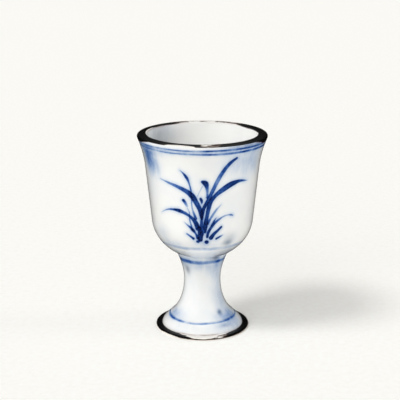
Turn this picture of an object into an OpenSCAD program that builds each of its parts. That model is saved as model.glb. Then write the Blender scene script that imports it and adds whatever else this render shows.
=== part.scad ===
// Porcelain stem cup: a deep bowl with an everted lip, luted on a waisted hollow stem
// that stands on a spreading foot. Every piece is turned about the Z axis.
// Millimetres, +Z up, origin at the centre of the standing ring.

/* [Lip] */
// Outside diameter of the lip
rim_d = 66; // [62:0.5:72]
// Thickness of the lip
lip_w = 5; // [3.8:0.1:5.6]
// Fall of the lip's top from its inner to its outer edge
lip_fall = 0.35; // [0:0.05:0.6]
// Radius of the lip's inner corner
lip_inner_round = 0.8; // [0.65:0.05:1.4]
// Radius of the lip's outer corner
lip_outer_round = 1.1; // [0.8:0.05:1.6]
// Angle below the horizontal at which the lip's outer corner ends
lip_turn = 22; // [5:1:40]

/* [Bowl] */
// Height from the seat on the stem to the top of the lip
bowl_h = 62.6; // [54:0.2:74]
// Outside diameter where the wall starts to flare to the lip
throat_d = 58; // [55:0.2:60]
// Height of the flare below the lip
flare_h = 17; // [12:0.5:20]
// Outside diameter where the wall leaves the rounded bottom
belly_d = 52; // [48:0.2:54]
// Height of the rounded bottom above the seat
belly_h = 17.4; // [14:0.2:22]
// Diameter of the seat on the stem, which is also the stem's upper end
seat_d = 26.4; // [23:0.2:30]
// Angle above the horizontal at which the underside leaves the seat
underside_angle = 28; // [15:1:40]
// Thickness of the wall
bowl_wall = 2.4; // [1.6:0.1:3]
// Thickness of the floor above the seat
floor_t = 4; // [3:0.1:5.5]
// Length of the tenon under the seat
tenon_l = 3; // [2:0.1:5]

/* [Stem] */
// Length between the two slip joints
stem_h = 32.8; // [26:0.2:42]
// Diameter of the waist
waist_d = 19; // [17:0.2:23]
// Height of the waist above the stem's lower end
waist_h = 18.4; // [14:0.2:22]
// Angle above the horizontal at which the flare reaches the upper end
collar_angle = 65; // [45:1:80]
// Diameter of the lower end
stem_base_d = 33; // [30:0.2:36]
// Angle below the horizontal at which the flare reaches the lower end
skirt_angle = 38; // [25:1:50]
// Thickness of the wall at the waist
stem_wall = 3; // [2:0.1:3.6]
// Width of the lower end's face outside the socket for the foot's spigot
socket_wall = 3.5; // [3:0.1:4.5]

/* [Foot] */
// Outside diameter of the flange
foot_d = 48.4; // [46:0.2:56]
// Thickness of the flange
flange_t = 1.4; // [1.3:0.05:2]
// Width of the flange beyond the foot's cushion
flange_w = 3.1; // [2:0.1:4]
// Angle above the horizontal at which the cushion rises from the flange
cushion_angle = 84; // [60:1:90]
// Height of the seat that the stem stands on
foot_h = 6.8; // [6:0.1:9]
// Width of the standing ring
ring_w = 2.8; // [1.6:0.1:3.4]
// Depth of the recess inside the standing ring
recess_d = 1.4; // [0.8:0.1:1.8]
// Rise of the underside from the standing ring to the hollow
underside_rise = 2.2; // [1:0.1:2.6]
// Height of the spigot above the seat
spigot_h = 2.4; // [1.6:0.1:3]
// Thickness of the spigot's wall
spigot_wall = 2.6; // [1.6:0.1:3]

/* [Joints and dressing] */
// Thickness of the slip that joins the stem to the bowl and to the foot
slip_t = 0.4; // [0.2:0.05:0.6]
// Thickness of the dark dressing on the lip and on the foot's flange
dressing_t = 0.3; // [0.15:0.05:0.45]
// Angle above the horizontal at which the dressing ends on both corners of the lip
lip_dressing_turn = 40; // [20:1:70]
// Angle below the horizontal at which the dressing ends on the flange's edge
foot_dressing_turn = 40; // [10:1:70]

/* [Hidden] */
$fn = 128;

// Steps in a long curve and in a corner
curve_steps = 20;
corner_steps = 8;

porcelain = "aliceblue";
slip_white = "whitesmoke";
iron_black = "#1d1916";

// Heights of the joints, from the standing ring upwards
stem_z = foot_h + slip_t;
stem_top_z = stem_z + stem_h;
seat_z = stem_top_z + slip_t;
top_z = seat_z + bowl_h;

rim_r = rim_d / 2;
lip_inner_r = rim_r - lip_w;
seat_r = seat_d / 2;
stem_base_r = stem_base_d / 2;
waist_r = waist_d / 2;
foot_r = foot_d / 2;

// The stem's straight bore is also the socket for the bowl's tenon
bore_r = waist_r - stem_wall;
tenon_r = bore_r - slip_t;

// The hollow goes on through the foot's spigot, which fits the socket in the stem's lower end
socket_r = stem_base_r - socket_wall;
spigot_r = socket_r - slip_t;
hollow_r = spigot_r - spigot_wall;
spigot_top_z = foot_h + spigot_h;
socket_top_z = spigot_top_z + slip_t;

function unit(v) = v / norm(v);
function on_angle(a) = [cos(a), sin(a)];
function reversed(path) = [for (i = [len(path) - 1:-1:0]) path[i]];
function arc(centre, r, from, to) =
    [for (i = [0:corner_steps]) centre + r * on_angle(from + (to - from) * i / corner_steps)];
function bezier(a, b, c, d) =
    [for (i = [0:curve_steps])
        let (t = i / curve_steps, s = 1 - t)
        s * s * s * a + 3 * s * s * t * b + 3 * s * t * t * c + t * t * t * d];

module turned(outline) {
    rotate_extrude() polygon(outline);
}

// The dressed top of the lip, from its inner to its outer corner, taken inwards by depth
lip_inner_centre = [lip_inner_r + lip_inner_round, top_z - lip_inner_round];
lip_outer_centre = [rim_r - lip_outer_round, top_z - lip_fall - lip_outer_round];
function lip_top(depth) = concat(
    arc(lip_inner_centre, lip_inner_round - depth, 180 - lip_dressing_turn, 90),
    arc(lip_outer_centre, lip_outer_round - depth, 90, lip_dressing_turn)
);

// The wall between belly and throat is straight, and the curves below and above leave it smoothly
belly = [belly_d / 2, seat_z + belly_h];
throat = [throat_d / 2, top_z - flare_h];
wall_way = unit(throat - belly);
wall_inwards = [-wall_way[1], wall_way[0]];
inner_belly = belly + bowl_wall * wall_inwards;
inner_throat = throat + bowl_wall * wall_inwards;

function bowl_underside() = bezier(
    [seat_r, seat_z],
    [seat_r, seat_z] + 0.38 * belly_h * on_angle(underside_angle),
    belly - 0.51 * belly_h * wall_way,
    belly
);
function bowl_flare() =
    let (lip_end = lip_outer_centre + lip_outer_round * on_angle(-lip_turn))
    bezier(
        throat,
        throat + 0.35 * flare_h * wall_way,
        lip_end - 0.3 * flare_h * on_angle(90 - lip_turn),
        lip_end
    );
function bowl_inside() =
    let (floor_z = seat_z + floor_t, lip_start = [lip_inner_r, top_z - lip_inner_round])
    concat(
        bezier(
            lip_start,
            lip_start - [0, 0.35 * flare_h],
            inner_throat + 0.3 * flare_h * wall_way,
            inner_throat
        ),
        bezier(
            inner_belly,
            inner_belly - 0.6 * belly_h * wall_way,
            [0.66 * inner_belly[0], floor_z],
            [0, floor_z]
        )
    );

// The bowl, with the tenon that enters the stem and a rebate for the dressing on its lip
module bowl() {
    color(porcelain)
    turned(concat(
        [[0, seat_z - tenon_l], [tenon_r, seat_z - tenon_l], [tenon_r, seat_z]],
        bowl_underside(),
        bowl_flare(),
        arc(lip_outer_centre, lip_outer_round, -lip_turn, lip_dressing_turn),
        reversed(lip_top(dressing_t)),
        arc(lip_inner_centre, lip_inner_round, 180 - lip_dressing_turn, 180),
        bowl_inside()
    ));
}

// Iron-black dressing on the lip
module lip_dressing() {
    color(iron_black)
    turned(concat(lip_top(0), reversed(lip_top(dressing_t))));
}

// Slip round the tenon and between the bowl's seat and the stem's upper end
module bowl_slip() {
    color(slip_white)
    turned([
        [tenon_r, seat_z - tenon_l],
        [bore_r, seat_z - tenon_l],
        [bore_r, stem_top_z],
        [seat_r, stem_top_z],
        [seat_r, seat_z],
        [tenon_r, seat_z]
    ]);
}

// The stem's outside narrows to the waist from both ends
waist = [waist_r, stem_z + waist_h];
stem_base = [stem_base_r, stem_z];
stem_top = [seat_r, stem_top_z];
upper_h = stem_h - waist_h;
function stem_outside() = concat(
    bezier(
        stem_base,
        stem_base + 0.34 * waist_h * on_angle(180 - skirt_angle),
        waist - [0, 0.38 * waist_h],
        waist
    ),
    bezier(
        waist,
        waist + [0, 0.4 * upper_h],
        stem_top - 0.26 * upper_h * on_angle(collar_angle),
        stem_top
    )
);

// The hollow runs straight from the stem's upper end to the waist, then widens to the foot's
module stem() {
    hollow_end = [hollow_r, socket_top_z];
    below_waist = waist[1] - socket_top_z;
    color(porcelain)
    turned(concat(
        stem_outside(),
        [[bore_r, stem_top_z]],
        bezier(
            [bore_r, waist[1]],
            [bore_r, waist[1] - 0.4 * below_waist],
            hollow_end + [-0.15, 0.4] * below_waist,
            hollow_end
        ),
        [[socket_r, socket_top_z], [socket_r, stem_z]]
    ));
}

// Slip between the stem's socket and the foot's spigot and seat
module foot_slip() {
    color(slip_white)
    turned([
        [hollow_r, spigot_top_z],
        [spigot_r, spigot_top_z],
        [spigot_r, foot_h],
        [stem_base_r, foot_h],
        [stem_base_r, stem_z],
        [socket_r, stem_z],
        [socket_r, socket_top_z],
        [hollow_r, socket_top_z]
    ]);
}

// The foot's flange has a round edge, and its dressed top is taken inwards by depth
edge_round = flange_t / 2;
edge_centre = [foot_r - edge_round, edge_round];
cushion_r = foot_r - flange_w;
function flange_top(depth) = concat(
    arc(edge_centre, edge_round - depth, -foot_dressing_turn, 90),
    [[cushion_r, flange_t - depth]]
);

// The cushion rises steeply from the flange and reaches the seat along the stem's own slope
function foot_cushion() =
    let (rise = foot_h - flange_t, start = [cushion_r, flange_t], seat = [stem_base_r, foot_h])
    bezier(
        start,
        start + 0.4 * rise * on_angle(180 - cushion_angle),
        seat - 0.4 * rise * on_angle(180 - skirt_angle),
        seat
    );

// The foot, with the spigot that enters the stem and a rebate for the dressing on its flange
module foot() {
    ring_inner_r = edge_centre[0] - ring_w;
    color(porcelain)
    turned(concat(
        [[ring_inner_r, 0]],
        arc(edge_centre, edge_round, -90, -foot_dressing_turn),
        flange_top(dressing_t),
        foot_cushion(),
        [[spigot_r, foot_h], [spigot_r, spigot_top_z], [hollow_r, spigot_top_z]],
        [[hollow_r, recess_d + underside_rise], [ring_inner_r - recess_d, recess_d]]
    ));
}

// Iron-black dressing on the foot's flange
module foot_dressing() {
    color(iron_black)
    turned(concat(flange_top(0), reversed(flange_top(dressing_t))));
}

bowl();
lip_dressing();
bowl_slip();
stem();
foot_slip();
foot();
foot_dressing();
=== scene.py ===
"""Dresses a porcelain stem cup: white glaze, cobalt brushwork and iron-dressed edges.

The cup is turned on a wheel in three pieces, bowl, stem and foot, which are luted together with
slip. Its pieces are spun about the Z axis at the sizes that the frame gives. Lengths are in
millimetres up to the point where a mesh is made, which is in metres.

Angles go round the cup from its painted front, which faces -Y, and are positive to the right.
"""

from __future__ import annotations

import logging
import math
from dataclasses import dataclass, field
from enum import Enum
from functools import partial
from typing import Any, NamedTuple

import bmesh
import bpy
import numpy as np
from mathutils import Matrix, Vector

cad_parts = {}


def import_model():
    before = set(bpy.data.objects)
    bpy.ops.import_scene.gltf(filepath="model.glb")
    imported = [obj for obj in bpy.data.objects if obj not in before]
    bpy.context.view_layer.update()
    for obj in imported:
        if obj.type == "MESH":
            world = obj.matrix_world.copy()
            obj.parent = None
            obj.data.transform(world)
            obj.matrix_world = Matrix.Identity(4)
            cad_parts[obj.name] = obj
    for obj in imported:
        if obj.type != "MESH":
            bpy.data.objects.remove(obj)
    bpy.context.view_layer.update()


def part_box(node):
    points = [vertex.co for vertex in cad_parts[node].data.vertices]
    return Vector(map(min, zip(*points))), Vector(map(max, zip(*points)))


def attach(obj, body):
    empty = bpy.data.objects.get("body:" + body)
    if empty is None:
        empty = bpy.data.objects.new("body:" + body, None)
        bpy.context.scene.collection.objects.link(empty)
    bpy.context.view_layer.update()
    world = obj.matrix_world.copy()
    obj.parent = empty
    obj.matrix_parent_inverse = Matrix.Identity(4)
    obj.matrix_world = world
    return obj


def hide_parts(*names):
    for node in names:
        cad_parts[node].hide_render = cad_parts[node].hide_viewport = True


LOG = logging.getLogger("stem_cup")

MM = 0.001
BODY = "root"

FULL_TURN = 360
# Left, right and back of the cup as angles
LEFT, RIGHT, BACK = -90.0, 90.0, 180.0
# Half-angle of a wash that goes all the way round, a little paler at the back
ALL_ROUND = 400
# Radius at which a stroke's place across the bowl is measured round it
PAINTED_R = 28.0
# Fewest steps along an arc and along a curve
ARC_STEPS, CURVE_STEPS = 3, 4
# Stations of an outline that lie closer than this are one station
SAME_STATION = 1e-4
# Vertices of a spun mesh that lie closer than this, in metres, are one vertex
SAME_VERTEX = 1e-6
# Corners that turn by more than this stay crisp
CRISP_TURN = math.radians(38)
# Sockets of a Mix node that mixes colours
MIX_FACTOR, MIX_A, MIX_B = 0, 6, 7
# Nearly all of a noise texture lies in this range
NOISE_RANGE = {"From Min": 0.3, "From Max": 0.7}


class Skin(Enum):
    """What covers a stretch of a piece's outline."""

    OUTSIDE = 1
    INSIDE = 2
    BARE = 3
    JOINT = 4


class Slot(Enum):
    """The record's material slots."""

    PORCELAIN = "porcelain"
    SLIP = "slip"
    IRON_DRESSING = "iron_dressing"


def linear(hex_colour: str) -> tuple[float, float, float, float]:
    """Turns an sRGB hex colour into linear colour with full opacity.

    Args:
        hex_colour: Six hex digits after a hash.

    Returns:
        Red, green, blue and alpha.
    """
    parts = [int(hex_colour[i : i + 2], 16) / 255 for i in (1, 3, 5)]
    red, green, blue = (p / 12.92 if p <= 0.04045 else ((p + 0.055) / 1.055) ** 2.4 for p in parts)
    return red, green, blue, 1.0


def per_metre(size: float) -> float:
    """Gives the texture scale at which one feature of a pattern is a size in millimetres."""
    return 1 / (size * MM)


def new_material(name: str) -> bpy.types.Material:
    """Starts a material.

    Args:
        name: Its name.

    Returns:
        A material with an empty tree of nodes.
    """
    material = bpy.data.materials.new(name)
    material.use_nodes = True
    material.node_tree.nodes.clear()
    return material


def add_node(
    tree: bpy.types.NodeTree,
    kind: str,
    inputs: dict[str | int, Any] | None = None,
    stops: tuple[tuple[float, str], ...] = (),
    **settings: Any,
) -> bpy.types.Node:
    """Adds a node to a tree with its settings, values and links.

    Args:
        tree: The tree that gets the node.
        kind: The node's type.
        inputs: Values by socket. A socket is linked, and so is the first output in use of a node.
        stops: Places and hex colours along a colour ramp.
        settings: The node's own properties.

    Returns:
        The new node.
    """
    node = tree.nodes.new(kind)
    for name, value in settings.items():
        setattr(node, name, value)
    for key, value in (inputs or {}).items():
        if isinstance(value, bpy.types.Node):
            value = next(socket for socket in value.outputs if socket.enabled)
        if isinstance(value, bpy.types.NodeSocket):
            tree.links.new(value, node.inputs[key])
        else:
            node.inputs[key].default_value = value
    if stops:
        elements = node.color_ramp.elements
        while len(elements) < len(stops):
            elements.new(1.0)
        for element, (place, hex_colour) in zip(elements, stops):
            element.position = place
            element.color = linear(hex_colour)
    return node


def background_rays(tree: bpy.types.NodeTree) -> bpy.types.NodeSocket:
    """Marks the rays that show the background: the camera's own, and those off gloss or through glass.

    Args:
        tree: The tree that gets the nodes.

    Returns:
        A socket that is 1 for such a ray and 0 for one that only lights.
    """
    path = add_node(tree, "ShaderNodeLightPath").outputs
    mirrored = add_node(
        tree,
        "ShaderNodeMath",
        {0: path["Is Glossy Ray"], 1: path["Is Transmission Ray"]},
        operation="MAXIMUM",
    )
    shown = add_node(tree, "ShaderNodeMath", {0: path["Is Camera Ray"], 1: mirrored}, operation="MAXIMUM")
    return shown.outputs["Value"]


def finished_mesh(name: str, shape: bmesh.types.BMesh) -> bpy.types.Mesh:
    """Turns a bmesh into a mesh, and frees it.

    Args:
        name: The mesh's name.
        shape: The bmesh.

    Returns:
        The mesh.
    """
    mesh = bpy.data.meshes.new(name)
    shape.to_mesh(mesh)
    shape.free()
    return mesh


def add_object(name: str, data: bpy.types.ID) -> bpy.types.Object:
    """Adds an object to the scene.

    Args:
        name: Its name.
        data: The mesh, lamp or camera that it holds.

    Returns:
        The object, at the origin.
    """
    made = bpy.data.objects.new(name, data)
    bpy.context.collection.objects.link(made)
    return made


def on_angle(degrees: float, length: float = 1.0) -> np.ndarray:
    """Gives a vector of a length at an angle above the outward direction."""
    turn = math.radians(degrees)
    return length * np.array((math.cos(turn), math.sin(turn)))


def line(start: np.ndarray, end: np.ndarray, spacing: float) -> np.ndarray:
    """Gives points along a straight stretch.

    Args:
        start: First point.
        end: Last point.
        spacing: Largest step between points.

    Returns:
        The points, one a row.
    """
    start, end = np.asarray(start, float), np.asarray(end, float)
    steps = max(1, math.ceil(np.linalg.norm(end - start) / spacing))
    share = np.linspace(0, 1, steps + 1)[:, None]
    return start + share * (end - start)


def arc(centre: np.ndarray, radius: float, start: float, end: float, spacing: float) -> np.ndarray:
    """Gives points along an arc.

    Args:
        centre: Centre of the arc.
        radius: Its radius.
        start: Angle of the first point, in degrees.
        end: Angle of the last point.
        spacing: Largest step between points.

    Returns:
        The points, one a row.
    """
    steps = max(ARC_STEPS, math.ceil(abs(math.radians(end - start)) * radius / spacing))
    return np.array([centre + on_angle(a, radius) for a in np.linspace(start, end, steps + 1)])


def bezier(a: np.ndarray, b: np.ndarray, c: np.ndarray, d: np.ndarray, spacing: float) -> np.ndarray:
    """Gives points along a cubic curve.

    Args:
        a: First point.
        b: Handle of the first point.
        c: Handle of the last point.
        d: Last point.
        spacing: Step between points, about.

    Returns:
        The points, one a row.
    """
    legs = sum(np.linalg.norm(np.subtract(q, p)) for p, q in ((a, b), (b, c), (c, d)))
    length = (legs + np.linalg.norm(np.subtract(d, a))) / 2
    steps = max(CURVE_STEPS, math.ceil(length / spacing))
    t = np.linspace(0, 1, steps + 1)[:, None]
    s = 1 - t
    return s**3 * a + 3 * s * s * t * b + 3 * s * t * t * c + t**3 * d


def catmull_rom(points: np.ndarray, steps: int) -> np.ndarray:
    """Gives a smooth path through rows of numbers.

    Args:
        points: The rows to pass through.
        steps: Points on the path for each stretch between two rows.

    Returns:
        The path, one row a point.
    """
    padded = np.vstack((2 * points[0] - points[1], points, 2 * points[-1] - points[-2]))
    t = np.linspace(0, 1, steps, endpoint=False)[:, None]
    stretches = []
    for p, q, r, s in zip(padded, padded[1:], padded[2:], padded[3:]):
        bend = 2 * q + (r - p) * t + (2 * p - 5 * q + 4 * r - s) * t**2 + (3 * q - p - 3 * r + s) * t**3
        stretches.append(bend / 2)
    return np.vstack((*stretches, points[-1:]))


def smooth_step(low: float, high: float, value: np.ndarray) -> np.ndarray:
    """Rises smoothly from 0 at low to 1 at high, or falls if low is the larger."""
    share = np.clip((value - low) / (high - low), 0, 1)
    return share * share * (3 - 2 * share)


def turned_away(angle: np.ndarray, centre: float) -> np.ndarray:
    """Gives how far angles lie from a centre, the short way round, in degrees."""
    return np.abs((angle - centre + FULL_TURN / 2) % FULL_TURN - FULL_TURN / 2)


def waves(turn: np.ndarray, *parts: tuple[float, int, Any]) -> np.ndarray:
    """Adds up waves round the cup, each with its height, how many go round, and its phase."""
    return sum(height * np.sin(count * turn + phase) for height, count, phase in parts)


class Place(NamedTuple):
    """Where a piece's vertices lie: angle from the front in degrees, radius and height."""

    angle: np.ndarray
    radius: np.ndarray
    height: np.ndarray


class Touch(NamedTuple):
    """One point of a brush stroke: place across and up the bowl, width, and load of pigment."""

    across: float
    up: float
    width: float
    load: float


@dataclass(frozen=True)
class BrushStroke:
    """A stroke of a loaded brush on the bowl, from its tip to its root."""

    name: str
    touches: tuple[Touch, ...]
    path_steps: int = 10
    soft_edge: float = 0.25
    bleed: float = 1.1
    bleed_load: float = 0.15
    gather: float = 0.1
    thinnest_half: float = 0.1

    def load_at(self, place: Place) -> np.ndarray:
        """Works out the pigment that the stroke leaves.

        Args:
            place: Where the vertices lie.

        Returns:
            The load at each vertex, from 0 to 1.
        """
        load = np.zeros_like(place.angle)
        across = np.radians(place.angle) * PAINTED_R
        path = catmull_rom(np.array(self.touches), self.path_steps)
        reach = path[:, 2].max() / 2 + 2 * self.bleed
        low, high = path[:, :2].min(0) - reach, path[:, :2].max(0) + reach
        near = (across > low[0]) & (across < high[0]) & (place.height > low[1]) & (place.height < high[1])
        if not near.any():
            return load
        spots = np.column_stack((across[near], place.height[near]))
        least = np.full(len(spots), np.inf)
        deepest, bled = np.zeros((2, len(spots)))
        for a, b in zip(path, path[1:]):
            run = b[:2] - a[:2]
            share = np.clip((spots - a[:2]) @ run / (run @ run), 0, 1)
            gap = np.linalg.norm(spots - a[:2] - share[:, None] * run, axis=1)
            half = (a[2] + share * (b[2] - a[2])) / 2
            pigment = a[3] + share * (b[3] - a[3])
            edge = gap - half
            closer = edge < least
            covered = smooth_step(self.soft_edge, -self.soft_edge, edge)
            # Pigment gathers a little at the stroke's edges as it dries
            out = np.clip(gap / np.maximum(half, self.thinnest_half), 0, 1)
            gathered = 1 - self.gather + self.gather * out**2
            deepest = np.where(closer, pigment * covered * gathered, deepest)
            halo = self.bleed_load * np.exp(-((np.maximum(edge, 0) / self.bleed) ** 2))
            bled = np.where(closer, pigment * halo, bled)
            least = np.minimum(edge, least)
        load[near] = np.maximum(deepest, bled)
        return load


@dataclass(frozen=True)
class RingLine:
    """A line that the brush leaves while the cup turns on the banding wheel."""

    name: str
    height: float
    width: float
    load: float
    heavy_angle: float = LEFT
    swing: float = 0.2
    waver: float = 0.1
    even_load: float = 0.9
    dab: float = 0.14
    soft: float = 0.18
    gap_angle: float = BACK
    gap_half: float = 0.0
    gap_core: float = 0.3
    gap_load: float = 0.3

    def load_at(self, place: Place) -> np.ndarray:
        """Works out the pigment of the line.

        Args:
            place: Where the vertices lie.

        Returns:
            The load at each vertex, from 0 to 1.
        """
        turn = np.radians(place.angle)
        heavy = 1 + self.swing * np.cos(turn - math.radians(self.heavy_angle))
        # The hand wavers while the wheel turns, a little differently on each line
        hand = waves(turn, (0.6, 3, self.height), (0.4, 7, 2 * self.height))
        off = np.abs(place.height - self.height - self.waver * hand)
        half = self.width / 2 * heavy
        covered = smooth_step(half + self.soft, np.maximum(half - self.soft, 0), off)
        # The brush leaves more pigment in some dabs than in others
        dabs = waves(turn, (1.0, 11, 3 * self.height), (0.7, 23, self.height))
        load = self.load * heavy * (self.even_load + self.dab * dabs) * covered
        if self.gap_half:
            # The brush ran nearly dry there
            away = turned_away(place.angle, self.gap_angle)
            inked = smooth_step(self.gap_core * self.gap_half, self.gap_half, away)
            load = load * (self.gap_load + (1 - self.gap_load) * inked)
        return load


@dataclass(frozen=True)
class Wash:
    """A soft patch of thin cobalt under the glaze; many are painted shade, with painted grey where shade
    falls.
    """

    name: str
    angle: float
    height: float
    half_angle: float
    half_height: float
    load: float
    painted_shade: float = 0.0

    def spread(self, place: Place) -> np.ndarray:
        """Works out how much of the wash reaches each vertex.

        Args:
            place: Where the vertices lie.

        Returns:
            The share at each vertex, from 0 to 1.
        """
        side = turned_away(place.angle, self.angle) / self.half_angle
        up = (place.height - self.height) / self.half_height
        return np.exp(-(side**2) - up**2)

    def load_at(self, place: Place) -> np.ndarray:
        """Gives the load of cobalt at each vertex, from 0 to 1."""
        return self.load * self.spread(place)

    def painted_shade_at(self, place: Place) -> np.ndarray:
        """Gives the painted grey shade at each vertex, from 0 to 1."""
        return self.painted_shade * self.spread(place)


def stroke(name: str, *touches: tuple[float, float, float, float]) -> BrushStroke:
    """Names a stroke and its touches, each across, up, width and load."""
    return BrushStroke(name, tuple(Touch(*touch) for touch in touches))


@dataclass(frozen=True)
class Brushwork:
    """All the cobalt on the cup: an orchid clump, ring lines and thin washes, and painted shade."""

    orchid: tuple[BrushStroke, ...] = (
        stroke(
            "tall_blade",
            (15.8, 95.7, 1.4, 0.95), (12.6, 93.2, 1.9, 0.86), (9.4, 88.7, 2.0, 0.78),
            (7.2, 84.7, 2.0, 0.62), (5.4, 80.7, 1.9, 0.72), (2.9, 75.2, 1.9, 0.92),
            (0.7, 70.8, 1.8, 0.95), (-0.1, 67.6, 1.9, 1.0), (-0.3, 65.0, 1.1, 1.0),
        ),
        stroke(
            "right_arch",
            (24.9, 82.6, 0.2, 0.6), (21.5, 83.2, 1.0, 0.8), (18.2, 83.3, 1.9, 0.95),
            (13.9, 82.2, 3.0, 1.0), (10.0, 80.0, 2.8, 0.9), (7.0, 77.8, 2.1, 0.82),
            (4.4, 74.7, 2.2, 0.96), (3.1, 70.6, 2.2, 0.92), (2.3, 66.2, 2.0, 0.92),
            (1.6, 61.7, 2.4, 1.0), (1.4, 58.2, 1.4, 1.0),
        ),
        stroke(
            "left_sweep",
            (-23.0, 84.1, 0.2, 0.35), (-17.5, 82.8, 1.1, 0.55), (-12.3, 81.3, 1.8, 0.76),
            (-8.0, 79.4, 2.4, 0.86), (-5.0, 77.0, 2.9, 1.0), (-3.2, 73.9, 2.6, 0.92),
            (-1.5, 70.6, 2.4, 0.94), (-0.6, 67.9, 2.4, 1.0), (-0.4, 65.2, 1.3, 1.0),
        ),
        stroke(
            "upper_bud",
            (-10.6, 89.9, 0.2, 0.7), (-9.0, 88.4, 0.9, 0.9), (-7.9, 86.9, 1.5, 1.0),
            (-7.1, 85.5, 1.3, 0.88), (-6.4, 83.4, 0.8, 0.75), (-5.7, 80.6, 0.7, 0.7),
            (-5.3, 77.7, 0.7, 0.7), (-5.4, 73.2, 0.7, 0.66), (-5.1, 70.5, 0.8, 0.6),
            (-4.3, 67.9, 1.2, 0.7), (-3.4, 65.3, 1.5, 0.85),
        ),
        stroke(
            "centre_bud",
            (0.0, 84.5, 1.6, 1.0), (1.5, 83.6, 2.7, 0.98), (2.1, 81.7, 1.8, 0.84),
            (2.3, 79.4, 1.3, 0.62), (2.4, 77.5, 1.0, 0.8), (2.2, 76.3, 0.9, 1.0),
        ),
        stroke("faint_stalk", (0.0, 82.2, 0.4, 0.42), (-1.4, 79.4, 0.4, 0.38), (-2.5, 76.8, 0.4, 0.36)),
        stroke("teardrop", (-0.9, 75.7, 1.3, 1.0), (-0.4, 74.6, 1.4, 0.95), (-0.3, 72.9, 0.3, 0.8)),
        stroke("left_bud", (-9.6, 74.6, 1.6, 1.0), (-8.7, 73.3, 1.6, 0.78), (-7.8, 71.7, 1.2, 0.4)),
        stroke(
            "left_bud_stalk",
            (-7.7, 70.6, 0.4, 0.4), (-6.7, 68.6, 0.5, 0.65), (-6.6, 64.9, 0.6, 0.7),
            (-6.0, 62.2, 0.8, 0.75), (-5.5, 59.6, 1.0, 0.88),
        ),
        stroke(
            "left_arch",
            (-24.0, 66.1, 0.2, 0.3), (-21.0, 67.8, 0.4, 0.55), (-18.3, 68.8, 0.8, 0.8),
            (-15.2, 69.1, 1.2, 0.9), (-12.2, 68.9, 1.9, 1.0), (-9.6, 68.1, 1.8, 0.92),
            (-6.9, 66.7, 1.5, 0.82), (-4.8, 64.9, 1.9, 0.9), (-3.2, 62.6, 2.5, 1.0),
            (-2.5, 60.2, 2.5, 1.0),
        ),
        stroke("root_left", (-1.7, 60.7, 1.8, 0.95), (-1.1, 57.2, 2.8, 0.96), (-1.1, 54.2, 2.7, 1.0)),
        stroke("root_centre", (-0.4, 65.2, 1.2, 0.86), (-0.5, 61.7, 1.9, 0.84), (-0.3, 57.0, 2.2, 0.94)),
        stroke(
            "left_low",
            (-9.7, 63.2, 0.2, 0.4), (-7.8, 61.6, 0.7, 0.7), (-6.2, 60.4, 1.3, 0.9),
            (-4.9, 59.1, 1.7, 1.0), (-3.6, 57.4, 1.1, 0.85), (-2.4, 55.0, 1.9, 1.0),
        ),
        stroke("left_lowest", (-8.4, 57.0, 0.7, 0.85), (-6.5, 55.8, 1.0, 0.85), (-4.9, 54.6, 1.5, 1.0)),
        stroke(
            "right_pale",
            (9.6, 72.4, 0.4, 0.25), (7.3, 70.0, 1.0, 0.45), (5.5, 67.5, 1.2, 0.62),
            (3.8, 64.6, 1.2, 0.72), (2.9, 62.6, 1.1, 0.85),
        ),
        stroke(
            "right_thin_arch",
            (16.8, 65.7, 0.3, 0.75), (15.6, 66.2, 0.7, 0.78), (13.6, 66.4, 0.6, 0.46),
            (11.1, 65.9, 0.8, 0.58), (8.2, 64.2, 1.2, 0.72), (6.3, 62.6, 1.3, 0.8),
            (4.5, 60.4, 1.5, 0.88), (3.1, 58.0, 1.6, 0.95), (2.6, 55.7, 1.5, 1.0),
        ),
        stroke("spur", (7.2, 65.6, 0.3, 0.7), (6.0, 63.8, 0.9, 0.75), (4.8, 61.6, 1.1, 0.8)),
        stroke(
            "right_short",
            (10.1, 60.4, 1.2, 0.95), (8.2, 58.7, 1.4, 0.88), (6.3, 57.1, 1.8, 0.9),
            (4.7, 55.0, 2.4, 1.0),
        ),
        stroke("right_lowest", (11.6, 56.1, 0.3, 0.4), (9.5, 55.2, 0.9, 0.85), (7.7, 54.3, 1.1, 1.0)),
        stroke("left_dot", (-2.8, 53.0, 1.5, 0.9), (-2.3, 52.9, 1.6, 0.95)),
        stroke("right_dot", (2.2, 52.7, 2.1, 1.0), (2.5, 52.6, 2.1, 1.0)),
    )
    lines: tuple[RingLine, ...] = (
        RingLine("rim_upper", 100.5, 0.75, 0.48, heavy_angle=60, swing=0.45, waver=0.08, dab=0.22),
        RingLine("rim_lower", 98.7, 0.8, 0.44, heavy_angle=70, swing=0.45, waver=0.1, dab=0.22),
        RingLine("underside", 48.2, 1.5, 0.18, heavy_angle=20, swing=0.2, dab=0.08, soft=0.6),
        RingLine("collar", 37.6, 1.8, 0.47, heavy_angle=-70, swing=0.2, waver=0.12, dab=0.05, soft=0.55),
        RingLine("foot", 6.3, 0.66, 0.48, swing=0.1, dab=0.08, gap_angle=-28, gap_half=8),
    )
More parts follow.
